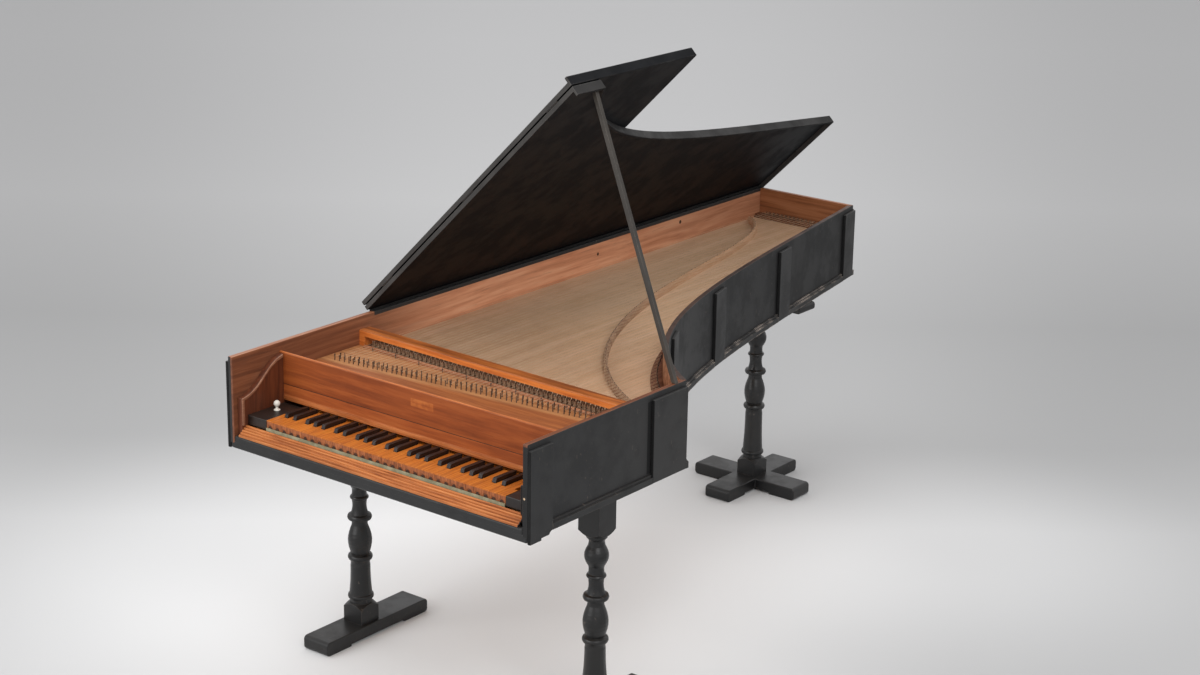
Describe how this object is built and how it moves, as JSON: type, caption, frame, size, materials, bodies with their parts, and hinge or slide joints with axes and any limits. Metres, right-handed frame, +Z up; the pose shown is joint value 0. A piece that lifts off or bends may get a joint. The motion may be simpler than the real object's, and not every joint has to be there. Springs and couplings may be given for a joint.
{
  "type": "harpsichord",
  "caption": "Wing-shaped harpsichord in a black painted case on turned legs, red-brown inside, with a folded front flap and a propped lid.",
  "frame": {"origin": "centre of the whole box on the floor, lid propped open as in the picture", "axes": "+Z up, +X to the treble side, +Y from the keyboard to the tail"},
  "size_m": [0.9888, 2.2756, 1.5396],
  "materials": {
    "black_paint": "aged satin black paint",
    "case_wood": "red-brown wood inside, black paint outside",
    "red_wood": "oiled red-brown wood",
    "lit_wood": "waxed orange-brown wood",
    "soundboard_wood": "aged bare cypress",
    "plain_wood": "bare wood",
    "natural_boxwood": "polished boxwood",
    "sharp_dark": "stained hardwood",
    "jack_wood": "planed fruitwood",
    "iron": "blackened iron",
    "brass_wire": "drawn",
    "bone_knob": "turned bone",
    "green_cloth": "felted wool"
  },
  "bodies": {
    "case": {"bottom_board": "plain_wood", "spine_wall": "case_wood", "cheek_wall": "case_wood", "bentside_wall": "case_wood", "tail_wall": "case_wood", "base_moulding": "black_paint", "front_rail": "black_paint", "case_battens": "black_paint", "inner_frame": "plain_wood", "endboards": "red_wood", "scroll_mouldings": "red_wood", "key_blocks": "black_paint", "block_knob": "bone_knob", "key_slip": "lit_wood", "key_cloth": "green_cloth", "nameboard_upper": "red_wood", "nameboard_lower": "red_wood", "wrestplank": "plain_wood", "tuning_pins": "iron", "nut": "red_wood", "soundboard": "soundboard_wood", "bridge": "red_wood", "hitch_rail": "red_wood", "small_pins": "brass_wire", "strings": "brass_wire", "registers": "red_wood", "jack_rail": "lit_wood", "key_frame": "plain_wood", "lid_hinges": "iron", "prop_stick": "black_paint", "turned_legs": "black_paint", "leg_feet": "black_paint", "bearers": "black_paint"},
    "lid": {"lid_panel": "black_paint", "flap_hinges": "iron"},
    "flap": {"lid_flap": "black_paint"},
    "keys_c": {"key_c": "natural_boxwood"},
    "keys_cs": {"key_cs": "sharp_dark"},
    "keys_d": {"key_d": "natural_boxwood"},
    "keys_ds": {"key_ds": "sharp_dark"},
    "keys_e": {"key_e": "natural_boxwood"},
    "keys_f": {"key_f": "natural_boxwood"},
    "keys_fs": {"key_fs": "sharp_dark"},
    "keys_g": {"key_g": "natural_boxwood"},
    "keys_gs": {"key_gs": "sharp_dark"},
    "keys_a": {"key_a": "natural_boxwood"},
    "keys_as": {"key_as": "sharp_dark"},
    "keys_b": {"key_b": "natural_boxwood"},
    "jacks_c": {"jack_c": "jack_wood"},
    "jacks_cs": {"jack_cs": "jack_wood"},
    "jacks_d": {"jack_d": "jack_wood"},
    "jacks_ds": {"jack_ds": "jack_wood"},
    "jacks_e": {"jack_e": "jack_wood"},
    "jacks_f": {"jack_f": "jack_wood"},
    "jacks_fs": {"jack_fs": "jack_wood"},
    "jacks_g": {"jack_g": "jack_wood"},
    "jacks_gs": {"jack_gs": "jack_wood"},
    "jacks_a": {"jack_a": "jack_wood"},
    "jacks_as": {"jack_as": "jack_wood"},
    "jacks_b": {"jack_b": "jack_wood"}
  },
  "joints": [
    {"name": "lid_hinge", "type": "hinge", "parent": "case", "child": "lid", "pos_m": [-0.46905, 0.23875, 0.83415], "axis": [0, -1, 0], "range_deg": [0, 45.3]},
    {"name": "flap_hinge", "type": "hinge", "parent": "lid", "child": "flap", "pos_m": [-0.13818, -0.65075, 1.18078], "axis": [0.7108, 0, 0.7034], "range_deg": [0, 180]},
    {"name": "key_pivot_c", "type": "hinge", "parent": "case", "child": "keys_c", "pos_m": [0.00995, -0.90275, 0.6597], "axis": [0.9995, -0.033, 0], "range_deg": [0, 2.2], "stiffness_Nm_per_rad": 1.5, "springref_deg": -3.44},
    {"name": "key_pivot_cs", "type": "hinge", "parent": "case", "child": "keys_cs", "pos_m": [0.00995, -0.90275, 0.6597], "axis": [0.9995, -0.033, 0], "range_deg": [0, 2.2], "stiffness_Nm_per_rad": 1.5, "springref_deg": -3.44},
    {"name": "key_pivot_d", "type": "hinge", "parent": "case", "child": "keys_d", "pos_m": [0.00995, -0.90275, 0.6597], "axis": [0.9995, -0.033, 0], "range_deg": [0, 2.2], "stiffness_Nm_per_rad": 1.5, "springref_deg": -3.44},
    {"name": "key_pivot_ds", "type": "hinge", "parent": "case", "child": "keys_ds", "pos_m": [0.00995, -0.90275, 0.6597], "axis": [0.9995, -0.033, 0], "range_deg": [0, 2.2], "stiffness_Nm_per_rad": 1.5, "springref_deg": -3.44},
    {"name": "key_pivot_e", "type": "hinge", "parent": "case", "child": "keys_e", "pos_m": [0.00995, -0.90275, 0.6597], "axis": [0.9995, -0.033, 0], "range_deg": [0, 2.2], "stiffness_Nm_per_rad": 1.5, "springref_deg": -3.44},
    {"name": "key_pivot_f", "type": "hinge", "parent": "case", "child": "keys_f", "pos_m": [0.00995, -0.90275, 0.6597], "axis": [0.9995, -0.033, 0], "range_deg": [0, 2.2], "stiffness_Nm_per_rad": 1.5, "springref_deg": -3.44},
    {"name": "key_pivot_fs", "type": "hinge", "parent": "case", "child": "keys_fs", "pos_m": [0.00995, -0.90275, 0.6597], "axis": [0.9995, -0.033, 0], "range_deg": [0, 2.2], "stiffness_Nm_per_rad": 1.5, "springref_deg": -3.44},
    {"name": "key_pivot_g", "type": "hinge", "parent": "case", "child": "keys_g", "pos_m": [0.00995, -0.90275, 0.6597], "axis": [0.9995, -0.033, 0], "range_deg": [0, 2.2], "stiffness_Nm_per_rad": 1.5, "springref_deg": -3.44},
    {"name": "key_pivot_gs", "type": "hinge", "parent": "case", "child": "keys_gs", "pos_m": [0.00995, -0.90275, 0.6597], "axis": [0.9995, -0.033, 0], "range_deg": [0, 2.2], "stiffness_Nm_per_rad": 1.5, "springref_deg": -3.44},
    {"name": "key_pivot_a", "type": "hinge", "parent": "case", "child": "keys_a", "pos_m": [0.00995, -0.90275, 0.6597], "axis": [0.9995, -0.033, 0], "range_deg": [0, 2.2], "stiffness_Nm_per_rad": 1.5, "springref_deg": -3.44},
    {"name": "key_pivot_as", "type": "hinge", "parent": "case", "child": "keys_as", "pos_m": [0.00995, -0.90275, 0.6597], "axis": [0.9995, -0.033, 0], "range_deg": [0, 2.2], "stiffness_Nm_per_rad": 1.5, "springref_deg": -3.44},
    {"name": "key_pivot_b", "type": "hinge", "parent": "case", "child": "keys_b", "pos_m": [0.00995, -0.90275, 0.6597], "axis": [0.9995, -0.033, 0], "range_deg": [0, 2.2], "stiffness_Nm_per_rad": 1.5, "springref_deg": -3.44},
    {"name": "jack_lift_c", "type": "slide", "parent": "case", "child": "jacks_c", "axis": [0, 0, 1], "range_m": [0, 0.00879]},
    {"name": "jack_lift_cs", "type": "slide", "parent": "case", "child": "jacks_cs", "axis": [0, 0, 1], "range_m": [0, 0.00879]},
    {"name": "jack_lift_d", "type": "slide", "parent": "case", "child": "jacks_d", "axis": [0, 0, 1], "range_m": [0, 0.00879]},
    {"name": "jack_lift_ds", "type": "slide", "parent": "case", "child": "jacks_ds", "axis": [0, 0, 1], "range_m": [0, 0.00879]},
    {"name": "jack_lift_e", "type": "slide", "parent": "case", "child": "jacks_e", "axis": [0, 0, 1], "range_m": [0, 0.00879]},
    {"name": "jack_lift_f", "type": "slide", "parent": "case", "child": "jacks_f", "axis": [0, 0, 1], "range_m": [0, 0.00879]},
    {"name": "jack_lift_fs", "type": "slide", "parent": "case", "child": "jacks_fs", "axis": [0, 0, 1], "range_m": [0, 0.00879]},
    {"name": "jack_lift_g", "type": "slide", "parent": "case", "child": "jacks_g", "axis": [0, 0, 1], "range_m": [0, 0.00879]},
    {"name": "jack_lift_gs", "type": "slide", "parent": "case", "child": "jacks_gs", "axis": [0, 0, 1], "range_m": [0, 0.00879]},
    {"name": "jack_lift_a", "type": "slide", "parent": "case", "child": "jacks_a", "axis": [0, 0, 1], "range_m": [0, 0.00879]},
    {"name": "jack_lift_as", "type": "slide", "parent": "case", "child": "jacks_as", "axis": [0, 0, 1], "range_m": [0, 0.00879]},
    {"name": "jack_lift_b", "type": "slide", "parent": "case", "child": "jacks_b", "axis": [0, 0, 1], "range_m": [0, 0.00879]}
  ],
  "couplings": [
    {"joint": "jack_lift_c", "follows": "key_pivot_c", "m_per_rad": 0.2212},
    {"joint": "jack_lift_cs", "follows": "key_pivot_cs", "m_per_rad": 0.2212},
    {"joint": "jack_lift_d", "follows": "key_pivot_d", "m_per_rad": 0.2212},
    {"joint": "jack_lift_ds", "follows": "key_pivot_ds", "m_per_rad": 0.2212},
    {"joint": "jack_lift_e", "follows": "key_pivot_e", "m_per_rad": 0.2212},
    {"joint": "jack_lift_f", "follows": "key_pivot_f", "m_per_rad": 0.2212},
    {"joint": "jack_lift_fs", "follows": "key_pivot_fs", "m_per_rad": 0.2212},
    {"joint": "jack_lift_g", "follows": "key_pivot_g", "m_per_rad": 0.2212},
    {"joint": "jack_lift_gs", "follows": "key_pivot_gs", "m_per_rad": 0.2212},
    {"joint": "jack_lift_a", "follows": "key_pivot_a", "m_per_rad": 0.2212},
    {"joint": "jack_lift_as", "follows": "key_pivot_as", "m_per_rad": 0.2212},
    {"joint": "jack_lift_b", "follows": "key_pivot_b", "m_per_rad": 0.2212}
  ]
}
